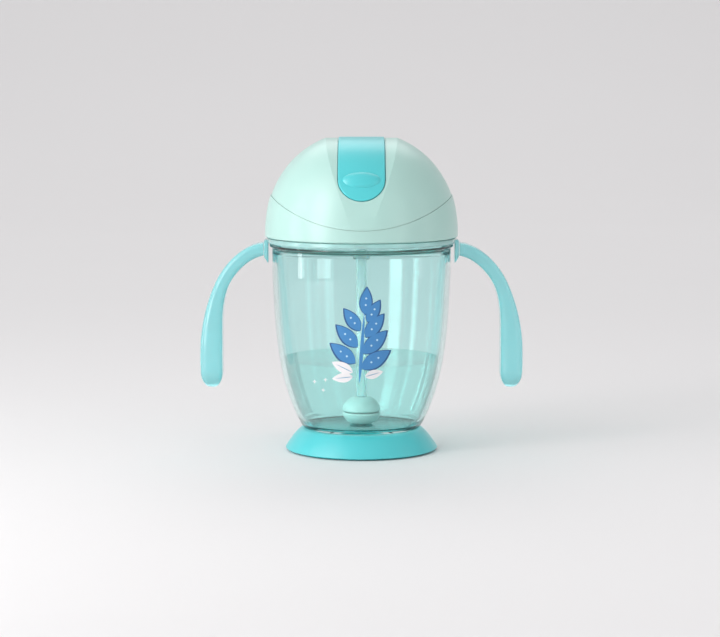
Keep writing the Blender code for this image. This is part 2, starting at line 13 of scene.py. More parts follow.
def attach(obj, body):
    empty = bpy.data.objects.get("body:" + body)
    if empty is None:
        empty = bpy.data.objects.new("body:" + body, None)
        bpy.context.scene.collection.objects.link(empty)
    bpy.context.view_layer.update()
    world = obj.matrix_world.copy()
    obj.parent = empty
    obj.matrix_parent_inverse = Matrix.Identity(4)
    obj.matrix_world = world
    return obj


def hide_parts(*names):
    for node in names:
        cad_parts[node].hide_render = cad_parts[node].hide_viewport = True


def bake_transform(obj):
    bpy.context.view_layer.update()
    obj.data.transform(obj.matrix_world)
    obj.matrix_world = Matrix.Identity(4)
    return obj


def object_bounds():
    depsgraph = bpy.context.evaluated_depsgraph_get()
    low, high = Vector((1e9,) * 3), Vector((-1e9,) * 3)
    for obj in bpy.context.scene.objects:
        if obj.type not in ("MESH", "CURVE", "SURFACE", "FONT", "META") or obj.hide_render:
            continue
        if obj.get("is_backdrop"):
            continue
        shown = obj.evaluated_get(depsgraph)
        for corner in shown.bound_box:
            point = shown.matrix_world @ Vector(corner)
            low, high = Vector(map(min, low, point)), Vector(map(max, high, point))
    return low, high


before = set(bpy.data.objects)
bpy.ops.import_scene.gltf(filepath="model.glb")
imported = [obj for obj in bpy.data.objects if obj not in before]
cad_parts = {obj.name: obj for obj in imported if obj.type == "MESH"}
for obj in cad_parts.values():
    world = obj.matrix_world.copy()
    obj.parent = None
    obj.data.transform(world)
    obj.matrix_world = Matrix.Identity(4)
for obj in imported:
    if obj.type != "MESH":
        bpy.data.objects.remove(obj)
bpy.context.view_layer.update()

# ---- camera --------------------------------------------------------------------------------
# A long lens a metre in front of the cup, a little above its lid. It looks down by a few degrees,
# so that the lid's lower edge is a shallow curve.
bpy.ops.object.camera_add(location=(-0.0007, -1.026, 0.177), rotation=(radians(83.6), 0, 0))
camera = bpy.context.object
camera.data.lens = 109.5
camera.data.sensor_width = 36
camera.data.clip_start = 0.01
bpy.context.scene.camera = camera
bpy.context.scene.view_settings.view_transform = "Standard"


# ---- floor and light -----------------------------------------------------------------------
# A pale matt sweep that curves up behind the cup, lit by a soft sky that is brighter on the left,
# with tall soft boxes near the cup that draw the long streaks on its clear wall.
class Wire:
    """An output of a material's node. Arithmetic on it adds Math nodes."""

    def __init__(self, finish, socket):
        self.finish, self.socket = finish, socket

    def maths(self, operation, *values):
        return self.finish.node("ShaderNodeMath", {"operation": operation}, dict(enumerate(values)))

    def __add__(self, other):
        return self.maths("ADD", self, other)

    def __mul__(self, other):
        return self.maths("MULTIPLY", self, other)

    __radd__, __rmul__ = __add__, __mul__

    def held(self, low, high):
        """The value held between two limits and stretched to 0 to 1."""
        return self.finish.node("ShaderNodeMapRange", {"interpolation_type": "SMOOTHSTEP"},
                                {"Value": self, "From Min": low, "From Max": high})


class Finish:
    """A material and its nodes. Sockets of its shader are set by name."""

    def __init__(self, name, tree=None, **sockets):
        self.material = None
        if tree is None:
            self.material = bpy.data.materials.new(name)
            self.material.use_nodes = True
            tree = self.material.node_tree
            self.shader = tree.nodes["Principled BSDF"]
        self.tree = tree
        for socket, value in sockets.items():
            self.feed(socket.replace("_", " "), value)

    def feed(self, socket, value):
        """Set or link one socket of the shader."""
        if isinstance(value, Wire):
            self.tree.links.new(value.socket, self.shader.inputs[socket])
        else:
            self.shader.inputs[socket].default_value = value

    def node(self, kind, settings=None, inputs=None, output=0):
        """Add any node by its type, settings and inputs, and give one of its outputs."""
        made = self.tree.nodes.new(kind)
        for name, value in (settings or {}).items():
            setattr(made, name, value)
        for name, value in (inputs or {}).items():
            if isinstance(value, Wire):
                self.tree.links.new(value.socket, made.inputs[name])
            else:
                made.inputs[name].default_value = value
        return Wire(self, made.outputs[output])

    def noise(self, scale, detail=2.0, stretch=(1, 1, 1)):
        """Noise from 0 to 1 with about this many cells to the metre."""
        place = self.node("ShaderNodeTexCoord", output="Object")
        spot = self.node("ShaderNodeMapping", inputs={"Vector": place, "Scale": stretch})
        return self.node("ShaderNodeTexNoise", {"noise_dimensions": "3D"},
                         {"Vector": spot, "Scale": scale, "Detail": detail}, output="Fac")

    def mix(self, factor, first, second):
        """A colour between two colours."""
        first, second = (c if isinstance(c, Wire) else (*c, 1.0) for c in (first, second))
        return self.node("ShaderNodeMix", {"data_type": "RGBA"},
                         {0: factor, 6: first, 7: second}, output=2)

    def bump(self, height, depth, strength=1.0):
        """A normal from a height of 0 to 1 that stands for this depth in metres."""
        return self.node("ShaderNodeBump", inputs={"Height": height, "Distance": depth,
                                                   "Strength": strength}, output="Normal")

    def let_light_through(self, tint):
        """Shadows of clear plastic are light: shadow rays pass with a tint."""
        links = self.tree.links
        clear = self.node("ShaderNodeBsdfTransparent", inputs={"Color": (*tint, 1.0)})
        shadow = self.node("ShaderNodeLightPath", output="Is Shadow Ray")
        mixed = self.node("ShaderNodeMixShader", inputs={0: shadow, 2: clear})
        links.new(self.shader.outputs[0], mixed.socket.node.inputs[1])
        links.new(mixed.socket, self.tree.nodes["Material Output"].inputs["Surface"])


def start_clean():
    """Leave edit mode and deselect everything before a new primitive is added."""
    if bpy.context.object and bpy.context.object.mode == "EDIT":
        bpy.ops.object.mode_set(mode="OBJECT")
    bpy.ops.object.select_all(action="DESELECT")


def edit(kind="VERT"):
    """Go into edit mode with everything selected."""
    bpy.ops.object.mode_set(mode="EDIT")
    bpy.ops.mesh.select_mode(type=kind)
    bpy.ops.mesh.select_all(action="SELECT")


def pick(piece, wanted, kind="VERT"):
    """In edit mode, select only the vertices, edges or faces whose middle is wanted."""
    bpy.ops.mesh.select_mode(type=kind)
    bpy.ops.mesh.select_all(action="DESELECT")
    bpy.ops.object.mode_set(mode="OBJECT")
    mesh = piece.data
    if kind == "VERT":
        for vertex in mesh.vertices:
            vertex.select = wanted(vertex.co)
    elif kind == "EDGE":
        for edge in mesh.edges:
            ends = [mesh.vertices[i].co for i in edge.vertices]
            edge.select = wanted((ends[0] + ends[1]) / 2)
    else:
        for face in mesh.polygons:
            face.select = wanted(face.center)
    bpy.ops.object.mode_set(mode="EDIT")


start_clean()
bpy.ops.mesh.primitive_plane_add(size=7.0, location=(0, 0, 0))
floor = bpy.context.object
floor.name = "floor_sweep"
edit()
pick(floor, lambda middle: middle.y > 3.0, "EDGE")
bpy.ops.mesh.extrude_region_move(TRANSFORM_OT_translate={"value": (0, 0, 4.0)})
pick(floor, lambda middle: middle.y > 3.4 and abs(middle.z) < 0.01, "EDGE")
bpy.ops.mesh.bevel(offset=1.8, segments=24, affect="EDGES")
bpy.ops.object.mode_set(mode="OBJECT")
bpy.ops.object.shade_smooth()
floor_finish = Finish("floor_pale", Roughness=0.75)
floor_finish.feed("Base Color", floor_finish.mix(floor_finish.noise(3.0, 3.0),
                                                 (0.800, 0.790, 0.795), (0.815, 0.806, 0.812)))
floor.data.materials.append(floor_finish.material)
floor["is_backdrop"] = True

world = bpy.data.worlds.new("soft_sky")
bpy.context.scene.world = world
world.use_nodes = True
sky = Finish("soft_sky", tree=world.node_tree)
towards = sky.node("ShaderNodeTexCoord", output="Generated")
side = sky.node("ShaderNodeSeparateXYZ", inputs={0: towards}, output=0)
sky_colour = sky.mix(side.held(-0.9, 0.9), (1.0, 0.992, 0.996), (0.66, 0.655, 0.66))
world.node_tree.links.new(sky_colour.socket, world.node_tree.nodes["Background"].inputs["Color"])
world.node_tree.nodes["Background"].inputs["Strength"].default_value = 0.77


def soft_box(name, azimuth, distance, height, width, tall, radiance, aim=0.07):
    """An area light that faces the cup. Azimuth is counted from the front, to the right."""
    spot = Vector((distance * sin(radians(azimuth)), -distance * cos(radians(azimuth)), height))
    turn = (Vector((0, 0, aim)) - spot).to_track_quat("-Z", "Y").to_euler()
    bpy.ops.object.light_add(type="AREA", location=spot, rotation=turn)
    lamp = bpy.context.object
    lamp.name = name
    lamp.data.shape = "RECTANGLE"
    lamp.data.size, lamp.data.size_y = width, tall
    lamp.data.energy = radiance * pi * width * tall


soft_box("key_left", -58, 1.7, 1.5, 1.3, 1.3, 1.5)
soft_box("streak_left_broad", -50, 0.60, 0.27, 0.20, 0.52, 5.0, aim=0.27)
soft_box("streak_left_narrow", -83, 0.60, 0.27, 0.07, 0.52, 5.0, aim=0.27)
soft_box("streak_right_broad", 47, 0.70, 0.30, 0.17, 0.60, 1.5, aim=0.30)
soft_box("streak_right_narrow", 82, 0.70, 0.30, 0.09, 0.60, 1.5, aim=0.30)
soft_box("backdrop_glow", 180, 2.0, 2.2, 3.0, 1.5, 1.3, aim=0.0)


# ---- foot pad ------------------------------------------------------------------------------
# Grip ring of matt teal silicone, pressed into a groove under the foot. It is turned with a
# rounded sole that has two fine grooves, so that it doesn't stick to a wet table.
MERGE = 2e-6
ARC_STEPS = 5


def rounded(outline, closed=True):
    """Points of an outline whose corners (radius, height, fillet) are turned into arcs."""
    points = []
    count = len(outline)
    for i, corner in enumerate(outline):
        fillet = corner[2] if len(corner) > 2 else 0
        spot = Vector(corner[:2])
        if not fillet or (not closed and i in (0, count - 1)):
            points.append(tuple(spot))
            continue
        before = Vector(outline[i - 1][:2]) - spot
        after = Vector(outline[(i + 1) % count][:2]) - spot
        half = before.angle(after) / 2
        reach = min(fillet / tan(half), before.length * 0.49, after.length * 0.49)
        first, last = spot + before.normalized() * reach, spot + after.normalized() * reach
        for k in range(ARC_STEPS + 1):
            t = k / ARC_STEPS
            points.append(tuple(first * (1 - t) ** 2 + spot * 2 * t * (1 - t) + last * t ** 2))
    return points


def turned(name, outline, steps=144, closed=True):
    """Turn an outline of (radius, height, fillet) about an upright axis, as on a lathe."""
    points = rounded(outline, closed)
    start_clean()
    bpy.ops.mesh.primitive_plane_add(size=0.001)
    piece = bpy.context.object
    piece.name = piece.data.name = name
    edit()
    bpy.ops.mesh.merge(type="CENTER")
    bpy.ops.transform.translate(value=(points[0][0], 0, points[0][1]))
    for here, there in zip(points, points[1:] + points[:1] if closed else points[1:]):
        bpy.ops.mesh.extrude_region_move(
            TRANSFORM_OT_translate={"value": (there[0] - here[0], 0, there[1] - here[1])})
    bpy.ops.mesh.select_all(action="SELECT")
    bpy.ops.mesh.remove_doubles(threshold=MERGE)
    bpy.ops.mesh.select_all(action="SELECT")
    bpy.ops.mesh.spin(steps=steps, angle=2 * pi, center=(0, 0, 0), axis=(0, 0, 1))
    bpy.ops.mesh.select_all(action="SELECT")
    bpy.ops.mesh.remove_doubles(threshold=MERGE)
    bpy.ops.mesh.normals_make_consistent(inside=False)
    bpy.ops.object.mode_set(mode="OBJECT")
    return piece


def smooth(piece, angle=35):
    """Smooth shading with edges over this angle kept sharp."""
    start_clean()
    piece.select_set(True)
    bpy.context.view_layer.objects.active = piece
    bpy.ops.object.shade_smooth_by_angle(angle=radians(angle))


def give(piece, finish, body, *nodes, slot=None):
    """Put the finish on a piece, let it ride on a body, and let it stand for CAD nodes."""
    piece.data.materials.clear()
    piece.data.materials.append(finish.material)
    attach(piece, body)
    if nodes:
        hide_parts(*nodes)


pad = turned("grip_ring", [
    (0.0336, 0.0021), (0.0336, 0.0, 0.0005), (0.0327, 0.0, 0.0002), (0.0325, 0.0004, 0.0002),
    (0.0323, 0.0, 0.0002), (0.0316, 0.0, 0.0002), (0.0314, 0.0004, 0.0002), (0.0312, 0.0, 0.0002),
    (0.0303, 0.0, 0.0005), (0.0303, 0.0021)])
smooth(pad, 60)
grip = Finish("grip_silicone", Roughness=0.62, Specular_IOR_Level=0.35)
grip.feed("Base Color", grip.mix(grip.noise(220), (0.045, 0.34, 0.36), (0.06, 0.40, 0.42)))
grip.feed("Normal", grip.bump(grip.noise(3500, 3), 0.00003, 0.5))
give(pad, grip, "cup", "foot_pad", slot="grip_silicone")

# ---- foot ----------------------------------------------------------------------------------
# Flared foot, moulded in opaque teal polypropylene, with a disc that shows through the vessel's
# clear floor. A groove in its top takes the vessel's skirt, and its side is hollow.
FOOT_TOP_Z, FOOT_LOW_Z = 0.0104, 0.0008
FLARE_TOP_R, FLARE_REACH, FLARE_LOW_Z = 0.0276, 0.0082, 0.0012
flare = []
for i in range(25):
    down = i / 24
    out = (2 * down + sqrt(1 - (1 - down) ** 2)) / 3
    flare.append((FLARE_TOP_R + FLARE_REACH * out, FOOT_TOP_Z + (FLARE_LOW_Z - FOOT_TOP_Z) * down))
foot = turned("foot", [
    (0.0, 0.0089), (0.0200, 0.0089), (0.0221, 0.0086, 0.0004), (0.0221, 0.0039),
    (0.0245, 0.0039), (0.0245, FOOT_TOP_Z, 0.0003), *flare, (0.0356, FOOT_LOW_Z, 0.0002),
    (0.0339, FOOT_LOW_Z, 0.0003), (0.0339, 0.0024), (0.0300, 0.0024), (0.0300, FOOT_LOW_Z, 0.0003),
    (0.0288, FOOT_LOW_Z, 0.0003), (0.0286, 0.0062, 0.0004), (0.0262, 0.0072, 0.0004),
    (0.0260, 0.0024, 0.0002), (0.0205, 0.0024, 0.0003), (0.0205, 0.0073, 0.0008), (0.0, 0.0073)],
    steps=180, closed=False)
smooth(foot, 50)
teal = Finish("teal_plastic", Roughness=0.3, Coat_Weight=0.5, Coat_Roughness=0.32,
              Subsurface_Weight=0.12, Subsurface_Scale=0.004, Subsurface_Radius=(0.6, 1.0, 1.0))
teal.feed("Base Color", teal.mix(teal.noise(60, 3), (0.070, 0.585, 0.625), (0.085, 0.610, 0.650)))
teal.feed("Roughness", 0.26 + 0.10 * teal.noise(900, 3))
teal.feed("Normal", teal.bump(teal.noise(1500, 2), 0.00002, 0.35))
give(foot, teal, "cup", "foot_base", slot="teal_plastic")


# ---- vessel --------------------------------------------------------------------------------
# Clear copolyester vessel with a slight aqua tint, injection-moulded and polished. It has a bead
# under its shoulder, a neck with two thread ridges, and a skirt that snaps into the foot.
def wall_radius(height):
    """Outer radius of the vessel: straight above, drawn in like a bowl towards the foot."""
    below = max(0.0, 0.084 - height)
    return 0.042 - 0.045 * below - 0.00161 * (below / 0.042) ** 3.44


def join_cut(piece, other, operation="DIFFERENCE"):
    """Cut a piece with another shape, or weld it on, and remove the other."""
    start_clean()
    piece.select_set(True)
    bpy.context.view_layer.objects.active = piece
    bpy.ops.object.modifier_add(type="BOOLEAN")
    change = piece.modifiers[-1]
    change.operation, change.solver, change.object = operation, "EXACT", other
    bpy.ops.object.modifier_apply(modifier=change.name)
    bpy.data.objects.remove(other, do_unlink=True)


WALL = 0.0023
heights = [0.084 - 0.0712 * (i / 40) ** 0.85 for i in range(41)]
outer_wall = [(wall_radius(z), z) for z in heights]
inner_wall = [(wall_radius(z) - WALL, z) for z in reversed(heights) if z > 0.0150]
vessel = turned("vessel", [
    (0.0353, 0.1083, 0.0006), (0.0375, 0.1083, 0.0006), (0.0375, 0.0978, 0.0004),
    (0.0418, 0.0978, 0.0004), (0.0431, 0.0973, 0.0005), (0.0431, 0.0964, 0.0005),
    (0.0420, 0.0957, 0.0003), *outer_wall, (0.0276, 0.0108, 0.0006), (0.0242, 0.0108),
    (0.0242, 0.0042, 0.0004), (0.0224, 0.0042, 0.0004), (0.0224, 0.0092), (0.0, 0.0092),
    (0.0, 0.0117), (0.0232, 0.0117, 0.003), (0.0262, 0.0132, 0.001), *inner_wall,
    (0.0397, 0.0930, 0.0015), (0.0388, 0.0951, 0.002), (0.0353, 0.0970, 0.0015)],
    steps=192)
RIDGE_R, RIDGE_Z, RIDGE_DEPTH, RIDGE_HEIGHT = 0.0369, 0.1028, 0.0017, 0.0020
RIDGE_TURN, THREAD_LEAD = 170, 0.008
# The spin runs clockwise, but the rise and the fade count the other way, so each ridge stays level
# at first and its far end dips inside the neck. The lid covers it until it is unscrewed.
for index in range(2):
    start_clean()
    bpy.ops.mesh.primitive_plane_add(size=1.0, rotation=(radians(90), 0, 0))
    ridge = bpy.context.object
    bpy.ops.object.transform_apply(location=False, rotation=True, scale=False)
    edit()
    bpy.ops.transform.resize(value=(RIDGE_DEPTH, 1, RIDGE_HEIGHT))
    pick(ridge, lambda spot: spot.x > 0)
    bpy.ops.transform.resize(value=(1, 1, 0.45))
    bpy.ops.mesh.select_all(action="SELECT")
    bpy.ops.transform.translate(value=(RIDGE_R + RIDGE_DEPTH / 2, 0, RIDGE_Z))
    bpy.ops.mesh.spin(steps=48, angle=radians(RIDGE_TURN), center=(0, 0, 0), axis=(0, 0, 1))
    bpy.ops.mesh.select_all(action="SELECT")
    bpy.ops.mesh.normals_make_consistent(inside=False)
    bpy.ops.object.mode_set(mode="OBJECT")
    for vertex in ridge.data.vertices:
        along = (atan2(vertex.co.y, vertex.co.x) % (2 * pi)) / radians(RIDGE_TURN)
        along = 0.0 if along > 1.5 else along
        vertex.co.z += THREAD_LEAD * along * RIDGE_TURN / 360
        fade = min(1.0, min(along, 1 - along) / 0.08)
        shrink = 1 - (1 - fade) * 0.024 * (hypot(vertex.co.x, vertex.co.y) > 0.0372)
        vertex.co.x, vertex.co.y = vertex.co.x * shrink, vertex.co.y * shrink
    edit()
    bpy.ops.transform.rotate(value=index * pi, orient_axis="Z", center_override=(0, 0, 0))
    bpy.ops.object.mode_set(mode="OBJECT")
    join_cut(vessel, ridge, "UNION")
smooth(vessel, 32)
clear = Finish("clear_vessel", Roughness=0.03, IOR=1.18, Transmission_Weight=1.0,
               Coat_Weight=0.8, Coat_Roughness=0.02, Coat_IOR=1.5)
tint = clear.mix(clear.noise(14, 1), (0.752, 0.968, 0.958), (0.764, 0.972, 0.962))
edge_on = clear.node("ShaderNodeLayerWeight", inputs={"Blend": 0.35}, output="Facing")
clear.feed("Base Color", clear.mix(edge_on.held(0.62, 1.0), tint, (0.460, 0.830, 0.810)))
clear.feed("Normal", clear.bump(clear.noise(60, 1, (1, 1, 0.3)), 0.00003, 0.25))
clear.let_light_through((0.93, 0.99, 0.985))
give(vessel, clear, "cup", "cup_body", slot="clear_vessel")

# ---- handle ring ---------------------------------------------------------------------------
# Clear ring that lies on the vessel's shoulder and is held down by the lid. A step on its inside
# leaves room for the lid's skirt. A translucent lug on each side, with a wedge, carries a handle.
ring = turned("clamp_ring", [
    (0.0444, 0.1004, 0.0005), (0.0444, 0.0981, 0.0005), (0.0378, 0.0981, 0.0003),
    (0.0378, 0.0997, 0.0003), (0.0410, 0.0997), (0.0410, 0.1004, 0.0002)], steps=192)
smooth(ring, 35)
ring_clear = Finish("ring_clear", Roughness=0.05, IOR=1.3, Transmission_Weight=0.6, Coat_Weight=0.6,
                    Coat_Roughness=0.03)
ring_clear.feed("Base Color", ring_clear.mix(ring_clear.noise(90, 2), (0.600, 0.900, 0.880),
                                             (0.630, 0.915, 0.895)))
ring_clear.let_light_through((0.90, 0.98, 0.975))
give(ring, ring_clear, "cup", "handle_ring", slot="clear_aqua")
LUG_R, LUG_Z, LUG_SIZE, LUG_WEDGE = 0.04455, 0.09545, (0.0019, 0.0124, 0.0079), 0.0030
lugs = []
for side, lug_name in ((-1, "lug_left"), (1, "lug_right")):
    middle = (side * LUG_R, 0, LUG_Z)
    start_clean()
    bpy.ops.mesh.primitive_cube_add(size=1.0, location=middle)
    lug = bpy.context.object
    lug.name = lug.data.name = lug_name
    edit()
    bpy.ops.transform.resize(value=LUG_SIZE, center_override=middle)
    pick(lug, lambda spot: spot.z < 0 and spot.x * side < 0)
    bpy.ops.transform.translate(value=(0, 0, -LUG_WEDGE))
    bpy.ops.mesh.select_all(action="SELECT")
    bpy.ops.mesh.bevel(offset=0.0004, segments=3, affect="EDGES")
    bpy.ops.object.mode_set(mode="OBJECT")
    bpy.ops.object.transform_apply(location=True, rotation=True, scale=True)
    smooth(lug, 40)
    lugs.append(lug)
aqua = Finish("clear_aqua", Roughness=0.10, IOR=1.4, Transmission_Weight=0.72,
              Coat_Weight=0.6, Coat_Roughness=0.06, Subsurface_Weight=0.25,
              Subsurface_Scale=0.006, Subsurface_Radius=(0.5, 1.0, 1.0))
aqua.feed("Base Color", aqua.mix(aqua.noise(90, 2), (0.350, 0.790, 0.820), (0.375, 0.810, 0.840)))
aqua.feed("Roughness", 0.09 + 0.08 * aqua.noise(700, 2))
aqua.feed("Normal", aqua.bump(aqua.noise(1200, 2), 0.00002, 0.3))
aqua.let_light_through((0.70, 0.92, 0.93))
for lug in lugs:
    give(lug, aqua, "cup", slot="clear_aqua")

# ---- handles -------------------------------------------------------------------------------
# A soft-edged strap on each side, moulded in translucent aqua polypropylene. It leaves the lug
# level, arches over the fingers and hangs down to a thick rounded free end.
LUG_END, ELBOW = Vector((0.0458, 0, 0.0950)), Vector((0.0650, 0, 0.0793))
GRIP, TIP = Vector((0.0706, 0, 0.0430)), Vector((0.0703, 0, 0.0293))
strap_line = interpolate_bezier(LUG_END, LUG_END + Vector((0.0085, 0, -0.0010)),
                                ELBOW + Vector((-0.0032, 0, 0.0066)), ELBOW, 17)
strap_line += interpolate_bezier(ELBOW, ELBOW + Vector((0.0046, 0, -0.0098)),
                                 GRIP + Vector((0, 0, 0.0140)), GRIP, 20)[1:]
strap_line += interpolate_bezier(GRIP, GRIP + Vector((0, 0, -0.0040)), TIP + Vector((0, 0, 0.0040)),
                                 TIP, 17)[1:]


def strap_size(part, height):
    """Half thickness and half width of the strap, closing in a round end over the last 8 mm."""
    grown = min(1.0, part / 0.82)
    swell = min(1.0, max(0.0, (0.0820 - height) / 0.0340))
    left = (height - TIP.z) / 0.0080
    close = sqrt(max(0.006, 1 - (1 - left) ** 2)) if left < 1 else 1.0
    return (0.0031 + 0.0021 * swell ** 2 * (3 - 2 * swell)) * close, (0.0062 + 0.0018 * grown) * close


start_clean()
bpy.ops.mesh.primitive_plane_add(size=1.0, rotation=(0, radians(90), 0), location=(0, 0, 0))
strap = bpy.context.object
bpy.ops.object.transform_apply(location=False, rotation=True, scale=False)
edit()
bpy.ops.mesh.delete(type="ONLY_FACE")
bpy.ops.mesh.select_all(action="SELECT")
thick, wide = strap_size(0, LUG_END.z)
bpy.ops.transform.resize(value=(1, 2 * wide, 2 * thick))
bpy.ops.mesh.bevel(offset=0.0024, segments=7, affect="VERTICES")
bpy.ops.transform.translate(value=LUG_END)
heading = 0.0
last = len(strap_line) - 1
for i in range(1, last + 1):
    here, there = strap_line[i - 1], strap_line[i]
    along = (strap_line[min(i + 1, last)] - here).normalized()
    bpy.ops.mesh.extrude_region_move(TRANSFORM_OT_translate={"value": there - here})
    lean = atan2(-along.z, along.x)
    bpy.ops.transform.rotate(value=-(lean - heading), orient_axis="Y", center_override=there)
    new_thick, new_wide = strap_size(i / last, there.z)
    grow = new_thick / thick
    bpy.ops.transform.resize(value=(grow, new_wide / wide, grow), center_override=there)
    thick, wide, heading = new_thick, new_wide, lean
bpy.ops.mesh.merge(type="CENTER")
pick(strap, lambda spot: spot.x < LUG_END.x + 0.00001)
bpy.ops.mesh.edge_face_add()
bpy.ops.mesh.select_all(action="SELECT")
bpy.ops.mesh.normals_make_consistent(inside=False)
bpy.ops.object.mode_set(mode="OBJECT")
strap.name = strap.data.name = "strap_right"
bpy.ops.object.duplicate()
mirrored = bpy.context.object
mirrored.name = mirrored.data.name = "strap_left"
edit()
bpy.ops.transform.resize(value=(-1, 1, 1), center_override=(0, 0, 0))
bpy.ops.mesh.normals_make_consistent(inside=False)
bpy.ops.object.mode_set(mode="OBJECT")
for piece, node in ((strap, "handle_right"), (mirrored, "handle_left")):
    smooth(piece, 50)
    give(piece, aqua, "cup", node, slot="clear_aqua")

# ---- straw socket --------------------------------------------------------------------------
# Short clear tube under the lid's plate, moulded with a thin spigot for the straw's soft cuff.
socket_tube = turned("socket_tube", [
    (0.0040, 0.1100), (0.0040, 0.0980, 0.0004), (0.0017, 0.0980), (0.0017, 0.0952, 0.0003),
    (0.0009, 0.0952, 0.0002), (0.0009, 0.1100)], steps=64)
smooth(socket_tube)
socket_clear = Finish("socket_clear", Roughness=0.06, IOR=1.5, Transmission_Weight=0.85)
socket_clear.feed("Base Color", socket_clear.mix(socket_clear.noise(300), (0.62, 0.93, 0.92),
                                                 (0.66, 0.95, 0.94)))
socket_clear.let_light_through((0.75, 0.93, 0.92))
give(socket_tube, socket_clear, "lid", "straw_socket", slot="clear_aqua")

# ---- straw ---------------------------------------------------------------------------------
# Milky silicone tube that hangs from its thick cuff and ends in the weighted ball. The ball keeps
# its inlet in the drink whichever way the cup is tipped.
CUFF_Z, STRAW_TOP, STRAW_END = 0.0952, 0.0946, 0.0224
cuff = turned("soft_cuff", [
    (0.0036, CUFF_Z + 0.0018, 0.0003), (0.0040, CUFF_Z + 0.0012, 0.0004),
    (0.0040, CUFF_Z - 0.0017, 0.0004), (0.0035, CUFF_Z - 0.0022, 0.0003), (0.0030, CUFF_Z - 0.0022),
    (0.0030, CUFF_Z + 0.0018, 0.0003)], steps=64)
smooth(cuff)
silicone = Finish("milky_silicone", Roughness=0.2, IOR=1.25, Transmission_Weight=0.82,
                  Subsurface_Weight=0.3, Subsurface_Scale=0.003)
silicone.feed("Base Color", silicone.mix(silicone.noise(400, 2), (0.88, 0.955, 0.950),
                                         (0.90, 0.965, 0.960)))
silicone.feed("Normal", silicone.bump(silicone.noise(2600, 2), 0.00001, 0.4))
silicone.let_light_through((0.90, 0.96, 0.96))
give(cuff, silicone, "straw_top", "straw_cuff", slot="white_silicone")
straw_outline = [(0.0026, STRAW_TOP, 0.0003)]
straw_outline += [(0.0026, STRAW_TOP + (STRAW_END - STRAW_TOP) * i / 36) for i in range(1, 36)]
straw_outline += [(0.0026, STRAW_END), (0.0016, STRAW_END), (0.0016, STRAW_TOP, 0.0003)]
straw = turned("straw", straw_outline, steps=48)
smooth(straw)
give(straw, silicone, "straw", "straw_tube", slot="white_silicone")

# ---- weighted ball -------------------------------------------------------------------------
# Two opaque pale mint halves snapped together round a steel ring, with a groove where they meet
# and a valve over the inlet in the flat bottom.
BALL_R, SEAM = 0.0090, 0.0180
rise, drop = 0.0074, 0.0055 * 1.18
crown = [(BALL_R * cos(radians(a)), SEAM + 0.0003 + rise * sin(radians(a)))
         for a in range(4, 70, 6)]
roof = [((BALL_R - 0.0014) * cos(radians(a)), SEAM + 0.0002 + (rise - 0.0014) * sin(radians(a)))
        for a in range(60, -1, -10)]
ball_upper = turned("ball_top_half", [
    (BALL_R - 0.0006, SEAM + 0.0002), *crown, (0.0031, SEAM + rise * 0.96, 0.0004),
    (0.0029, SEAM + rise * 0.90), (0.0029, SEAM + rise * 0.74), *roof], steps=96)
bend = [(BALL_R * cos(radians(a)), SEAM - 0.0003 - drop * sin(radians(a))) for a in range(4, 54, 6)]
bowl = [((BALL_R - 0.0014) * cos(radians(a)), SEAM - 0.0002 - (drop - 0.0014) * sin(radians(a)))
        for a in range(40, -1, -8)]
low = SEAM - 0.0002 - drop * sin(radians(57))
ball_lower = turned("ball_low_half", [
    (BALL_R - 0.0006, SEAM - 0.0002), *bend, (BALL_R * cos(radians(57)), low, 0.0005),
    (0.0022, low, 0.0003), (0.0022, bowl[0][1], 0.0002), *bowl], steps=96)
pale_mint = Finish("ball_plastic", Roughness=0.36, Subsurface_Weight=0.2, Subsurface_Scale=0.004,
                   Subsurface_Radius=(0.7, 1.0, 1.0))
pale_mint.feed("Base Color", pale_mint.mix(pale_mint.noise(200, 3), (0.640, 0.710, 0.690),
                                           (0.660, 0.730, 0.710)))
pale_mint.feed("Normal", pale_mint.bump(pale_mint.noise(2500, 2), 0.00002, 0.4))
for half, node in ((ball_upper, "ball_upper"), (ball_lower, "ball_lower")):
    smooth(half, 40)
    give(half, pale_mint, "straw", node, slot="ball_plastic")
steel = Finish("turned_steel", Metallic=1.0)
steel.feed("Base Color", steel.mix(steel.noise(500, 2), (0.50, 0.50, 0.51), (0.60, 0.60, 0.60)))
rings = steel.noise(300, 2, (0.2, 0.2, 18))
steel.feed("Roughness", 0.22 + 0.14 * rings)
steel.feed("Normal", steel.bump(rings, 0.00002, 0.5))
for node, finish in (("ball_weight", steel), ("ball_valve", silicone)):
    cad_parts[node].data.materials.clear()
    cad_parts[node].data.materials.append(finish.material)

# ---- seals and plate -----------------------------------------------------------------------
# The lid's inner plate in mint polypropylene has a well for the folded spout. A silicone gasket
# seals it on the rim, a duckbill lets air in, and a ring clips the spout's flange down.
mint = Finish("mint_plastic", Coat_Weight=0.55, Coat_Roughness=0.35, Subsurface_Weight=0.12,
              Subsurface_Scale=0.004, Subsurface_Radius=(0.7, 1.0, 1.0))
mint.feed("Base Color", mint.mix(mint.noise(45, 3), (0.430, 0.680, 0.625), (0.445, 0.695, 0.640)))
mint.feed("Roughness", 0.28 + 0.12 * mint.noise(800, 3))
mint.feed("Normal", mint.bump(mint.noise(1400, 2), 0.00002, 0.35))
for node, finish in (("lid_plate", mint), ("spout_retainer", mint), ("lid_gasket", silicone),
                     ("vent_valve", silicone)):
    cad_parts[node].data.materials.clear()
    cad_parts[node].data.materials.append(finish.material)

